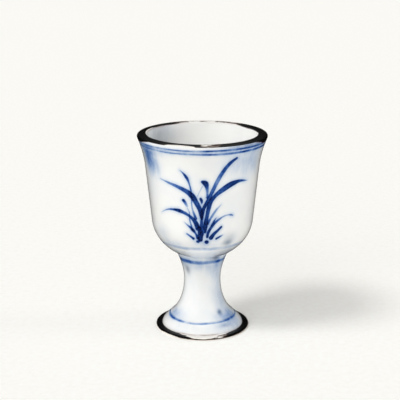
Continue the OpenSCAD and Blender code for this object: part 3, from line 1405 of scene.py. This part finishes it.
@dataclass
class Foot(GlazedPiece):
    """The foot: a flat flange, a cushion above it, and the spigot that enters the stem."""

    frame: CupFrame
    flange_t: float = 1.4
    flange_w: float = 3.1
    cushion_angle: float = 84.0
    skirt_angle: float = 38.0
    # Handles of the cushion's curve, as shares of its rise
    cushion_pull: float = 0.4
    ring_w: float = 2.8
    recess_d: float = 1.4
    underside_rise: float = 2.2
    spigot_r: float = 12.6
    hollow_r: float = 10.0
    dressing_t: float = 0.3
    dressing_turn: float = 40.0
    spacing: float = 0.25
    underside_spacing: float = 1.0
    stain_angle: float = -6.0
    stain_faded: float = 40.0
    stain_strong: float = 15.0
    stain_all_round: float = 0.12
    stain_front: float = 0.3
    stain_end: float = 0.9
    stain_full: float = 0.1

    @property
    def edge_round(self) -> float:
        """Radius of the flange's edge."""
        return self.flange_t / 2

    @property
    def edge_centre(self) -> np.ndarray:
        """Centre of the flange's round edge."""
        return np.array((self.frame.foot_r - self.edge_round, self.edge_round))

    def flange_top(self, depth: float) -> np.ndarray:
        """Gives the dressed top of the flange from its edge inwards.

        Args:
            depth: How far below the surface the points lie.

        Returns:
            The points, one a row.
        """
        edge = arc(self.edge_centre, self.edge_round - depth, -self.dressing_turn, 90, self.spacing)
        inner = np.array((self.frame.foot_r - self.flange_w, self.flange_t - depth))
        return np.vstack((edge, line(edge[-1], inner, self.spacing)))

    def outline(self) -> Outline:
        """Draws the outline from the standing ring over the flange, up to the spigot and down the hollow.

        Returns:
            The closed outline.
        """
        frame = self.frame
        ring_inner = self.edge_centre[0] - self.ring_w
        cushion = np.array((frame.foot_r - self.flange_w, self.flange_t))
        seat = np.array((frame.stem_base_r, frame.foot_h))
        pull = self.cushion_pull * (frame.foot_h - self.flange_t)
        hollow_top, hollow_end = frame.spigot_top_z, self.recess_d + self.underside_rise
        recess = np.array((ring_inner - self.recess_d, self.recess_d))

        drawn = Outline()
        drawn.run(line((ring_inner, 0), (self.edge_centre[0], 0), self.underside_spacing), Skin.BARE)
        drawn.run(arc(self.edge_centre, self.edge_round, -90, -self.dressing_turn, self.spacing), Skin.BARE)
        drawn.run(self.flange_top(self.dressing_t), Skin.JOINT)
        rise = bezier(
            cushion,
            cushion + on_angle(180 - self.cushion_angle, pull),
            seat - on_angle(180 - self.skirt_angle, pull),
            seat,
            self.spacing,
        )
        drawn.run(rise, Skin.OUTSIDE)
        drawn.run([(self.spigot_r, frame.foot_h), (self.spigot_r, hollow_top)], Skin.JOINT)
        hollow = line((self.hollow_r, hollow_top), (self.hollow_r, hollow_end), self.underside_spacing)
        drawn.run(hollow, Skin.BARE)
        drawn.run(line((self.hollow_r, hollow_end), recess, self.underside_spacing), Skin.INSIDE)
        return drawn

    def stain_at(self, place: Place, skin: Skin) -> np.ndarray:
        """Gives the brown stain on the cushion just above the dressing, strongest at the front.

        Args:
            place: Where the vertices lie.
            skin: Their skin.

        Returns:
            The load of iron at each vertex, from 0 to 1.
        """
        if skin is not Skin.OUTSIDE:
            return np.zeros_like(place.angle)
        away = turned_away(place.angle, self.stain_angle)
        front = smooth_step(self.stain_faded, self.stain_strong, away)
        uneven = 1 + waves(np.radians(place.angle), (0.25, 9, 0.0), (0.2, 23, 1.0))
        above = smooth_step(self.flange_t + self.stain_end, self.flange_t + self.stain_full, place.height)
        return above * (self.stain_all_round + self.stain_front * front) * uneven

    def build(self) -> bpy.types.Object:
        """Spins the foot."""
        return self.spin(self.outline())


@dataclass
class SlipJoint(GlazedPiece):
    """The thin slip between two luted pieces, glazed where it shows."""

    hidden: list[tuple[float, float]]
    shown: list[tuple[float, float]]
    spacing: float = 0.2

    def build(self) -> bpy.types.Object:
        """Spins the slip from its hidden faces and the narrow band that shows.

        Returns:
            The spun slip.
        """
        drawn = Outline()
        drawn.run(self.hidden, Skin.JOINT)
        drawn.run(line(*self.shown, self.spacing), Skin.OUTSIDE)
        return self.spin(drawn)


@dataclass
class DressedEdge(TurnedPiece):
    """A thin brushed coat of iron on an edge, with the places where it is worn."""

    upper: np.ndarray
    lower: np.ndarray
    patches: tuple[WornPatch, ...]

    def build(self) -> bpy.types.Object:
        """Spins the coat between its upper and lower faces.

        Returns:
            The spun coat.
        """
        drawn = Outline()
        drawn.run(self.upper, Skin.OUTSIDE)
        drawn.run(self.lower[::-1], Skin.JOINT)
        return self.spin(drawn)

    def dress(self, piece: bpy.types.Object) -> None:
        """Stores the wear of the patches at every vertex.

        Args:
            piece: The spun piece.
        """
        place = self.place(piece.data)
        across = self.upper if self.upper[0, 0] < self.upper[-1, 0] else self.upper[::-1]
        steps = np.linalg.norm(np.diff(across, axis=0), axis=1)
        shares = np.concatenate(((0.0,), np.cumsum(steps))) / steps.sum()
        spots = np.column_stack((place.radius, place.height))
        nearest = np.linalg.norm(spots[:, None] - across[None], axis=2).argmin(axis=1)
        wear = np.max([patch.wear_at(place.angle, shares[nearest]) for patch in self.patches], axis=0)
        self.write(piece.data, "wear", wear)


@dataclass(frozen=True)
class Lamp:
    """A distant soft lamp, placed by the way its light goes, seen from above, and by its height."""

    name: str
    plan: float
    height: float
    energy: float
    spread: float
    in_gloss: bool = False

    def add(self) -> None:
        """Adds the lamp to the scene."""
        data = bpy.data.lights.new(self.name, "SUN")
        data.energy = self.energy
        data.angle = math.radians(self.spread)
        lamp = add_object(self.name, data)
        turn, rise = math.radians(self.plan), math.radians(self.height)
        way = Vector((math.cos(rise) * math.cos(turn), math.cos(rise) * math.sin(turn), -math.sin(rise)))
        lamp.rotation_euler = way.to_track_quat("-Z", "Y").to_euler()
        lamp.visible_glossy = self.in_gloss


@dataclass(frozen=True)
class Studio:
    """The pale floor, the soft light from the upper left and the camera."""

    camera_place: tuple[float, float, float] = (-1.2, -560.0, 221.0)
    camera_pitch: float = 15.325
    lens: float = 101.8
    nearest: float = 10.0
    floor_half: float = 4000.0
    floor_gap: float = 0.05
    lamps: tuple[Lamp, ...] = (
        Lamp("key_light", plan=25, height=53, energy=1.0, spread=16),
        Lamp("gloss_light", plan=25, height=53, energy=0.28, spread=36, in_gloss=True),
        Lamp("fill_light", plan=66, height=18, energy=1.26, spread=60),
        Lamp("side_light", plan=180, height=3, energy=1.6, spread=20),
    )
    sky: float = 0.49
    sky_colour: str = "#fdfdfc"
    paper_colour: str = "#fbfaf6"
    flag_r: float = 64.0
    flag_h: float = 170.0
    flag_gap: float = 0.5
    flag_sides: int = 64
    flag_colour: str = "#0a0a0a"

    def light(self) -> None:
        """Adds the lamps and the sky, which the camera sees as paper white."""
        for lamp in self.lamps:
            lamp.add()
        world = bpy.data.worlds.new("soft_sky")
        world.use_nodes = True
        world.node_tree.nodes.clear()
        add = partial(add_node, world.node_tree)
        lit = add("ShaderNodeBackground", {"Color": linear(self.sky_colour), "Strength": self.sky})
        paper = add("ShaderNodeBackground", {"Color": linear(self.paper_colour), "Strength": 1.0})
        both = add("ShaderNodeMixShader", {0: background_rays(world.node_tree), 1: lit, 2: paper})
        add("ShaderNodeOutputWorld", {"Surface": both})
        bpy.context.scene.world = world

    def set_floor(self) -> None:
        """Lays the floor just under the standing ring."""
        shape = bmesh.new()
        bmesh.ops.create_grid(shape, x_segments=1, y_segments=1, size=self.floor_half * MM)
        bmesh.ops.translate(shape, verts=shape.verts, vec=(0, 0, -self.floor_gap * MM))
        floor = add_object("floor", finished_mesh("floor", shape))
        floor.data.materials.append(DrawingPaper().make())

    def set_flag(self) -> None:
        """Stands a tray of black card round the cup, seen only in its gloss, to draw its edges."""
        radius, middle = self.flag_r * MM, self.flag_h / 2 * MM
        shape = bmesh.new()
        bmesh.ops.create_cone(
            shape,
            cap_ends=False,
            segments=self.flag_sides,
            radius1=radius,
            radius2=radius,
            depth=self.flag_h * MM,
        )
        bmesh.ops.translate(shape, verts=shape.verts, vec=(0, 0, middle + self.flag_gap * MM))
        foot_edges = [edge for edge in shape.edges if all(v.co.z < middle for v in edge.verts)]
        bmesh.ops.holes_fill(shape, edges=foot_edges, sides=0)
        card = new_material("black_card")
        dark = add_node(card.node_tree, "ShaderNodeBsdfDiffuse", {"Color": linear(self.flag_colour)})
        add_node(card.node_tree, "ShaderNodeOutputMaterial", {"Surface": dark})
        flag = add_object("black_card", finished_mesh("black_card", shape))
        flag.data.materials.append(card)
        flag.visible_camera = False
        flag.visible_diffuse = False
        flag.visible_shadow = False
        flag.visible_transmission = False

    def set_camera(self) -> None:
        """Places the camera at the photograph's viewing angle."""
        data = bpy.data.cameras.new("camera")
        data.lens = self.lens
        data.clip_start = self.nearest * MM
        camera = add_object("camera", data)
        camera.location = Vector(self.camera_place) * MM
        camera.rotation_euler = (math.radians(90 - self.camera_pitch), 0, 0)
        bpy.context.scene.camera = camera
        bpy.context.scene.view_settings.view_transform = "Standard"


# Each patch has its angle and half-angle, its middle and half-width across the dressing, and its wear
LIP_WEAR = (
    WornPatch(-20, 15.5, 1.18, 0.58, 0.85),
    WornPatch(7, 10, 0.5, 0.9, 0.49),
    WornPatch(-96, 23, 0.0, 0.11, 0.8),
    WornPatch(BACK, 48, 0.5, 1.4, 0.3),
    WornPatch(BACK, 31, 0.5, 1.4, 0.4),
    WornPatch(152, 14, 0.5, 1.4, 0.46),
    WornPatch(BACK, 17, 0.5, 1.4, 0.6),
)
FOOT_WEAR = (
    WornPatch(2, 37, 0.0, 0.42, 0.8),
    WornPatch(0, 22, 0.4, 0.5, 0.8),
    WornPatch(-3, 16, 0.97, 0.2, 0.42),
    WornPatch(22, 12, 0.5, 0.42, 0.45),
    WornPatch(-46, 17, 1.0, 0.14, 0.8),
)

# Close columns under the bowl's brushwork, even ones on plain glaze, and finer ones under worn iron
PAINTED = Columns(front_half=52, front_step=0.55, back_step=3.2)
PLAIN = Columns(front_half=180, front_step=1.5, back_step=1.5)
BRUSHED = Columns(front_half=180, front_step=0.75, back_step=0.75)


def build_cup(frame: CupFrame) -> None:
    """Builds and dresses every piece of the cup.

    Args:
        frame: The sizes that the frame gives.
    """
    glaze, iron = PorcelainGlaze().make(), IronDressing().make()
    brushwork = Brushwork()
    lip = Lip(frame)
    bowl = Bowl("bowl", Slot.PORCELAIN, PAINTED, frame, lip)
    stem = Stem("stem", Slot.PORCELAIN, PLAIN, frame)
    foot = Foot("foot", Slot.PORCELAIN, PLAIN, frame)
    bowl_slip = SlipJoint(
        "bowl_slip",
        Slot.SLIP,
        PLAIN,
        hidden=[
            (bowl.tenon_r, frame.seat_z),
            (bowl.tenon_r, frame.tenon_z),
            (stem.bore_r, frame.tenon_z),
            (stem.bore_r, frame.stem_top_z),
        ],
        shown=[(frame.seat_r, frame.stem_top_z), (frame.seat_r, frame.seat_z)],
    )
    foot_slip = SlipJoint(
        "foot_slip",
        Slot.SLIP,
        PLAIN,
        hidden=[
            (stem.socket_r, frame.stem_z),
            (stem.socket_r, stem.socket_top_z),
            (foot.hollow_r, stem.socket_top_z),
            (foot.hollow_r, frame.spigot_top_z),
            (foot.spigot_r, frame.spigot_top_z),
            (foot.spigot_r, frame.foot_h),
        ],
        shown=[(frame.stem_base_r, frame.foot_h), (frame.stem_base_r, frame.stem_z)],
    )
    for part in (bowl, bowl_slip, stem, foot_slip, foot):
        piece = part.build()
        part.dress(piece, brushwork)
        part.hand_over(piece, glaze)
    lip_faces = lip.top(0), lip.top(lip.dressing_t)
    foot_faces = foot.flange_top(0), foot.flange_top(foot.dressing_t)
    dressings = (("lip_dressing", lip_faces, LIP_WEAR), ("foot_dressing", foot_faces, FOOT_WEAR))
    for node, faces, wear in dressings:
        edge = DressedEdge(node, Slot.IRON_DRESSING, BRUSHED, *faces, wear)
        piece = edge.build()
        edge.dress(piece)
        edge.hand_over(piece, iron)


def main() -> None:
    """Loads the frame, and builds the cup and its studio."""
    logging.basicConfig(level=logging.INFO, format="%(message)s")
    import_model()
    studio = Studio()
    studio.set_camera()
    build_cup(CupFrame.measured())
    studio.set_floor()
    studio.set_flag()
    studio.light()


if __name__ == "__main__":
    main()
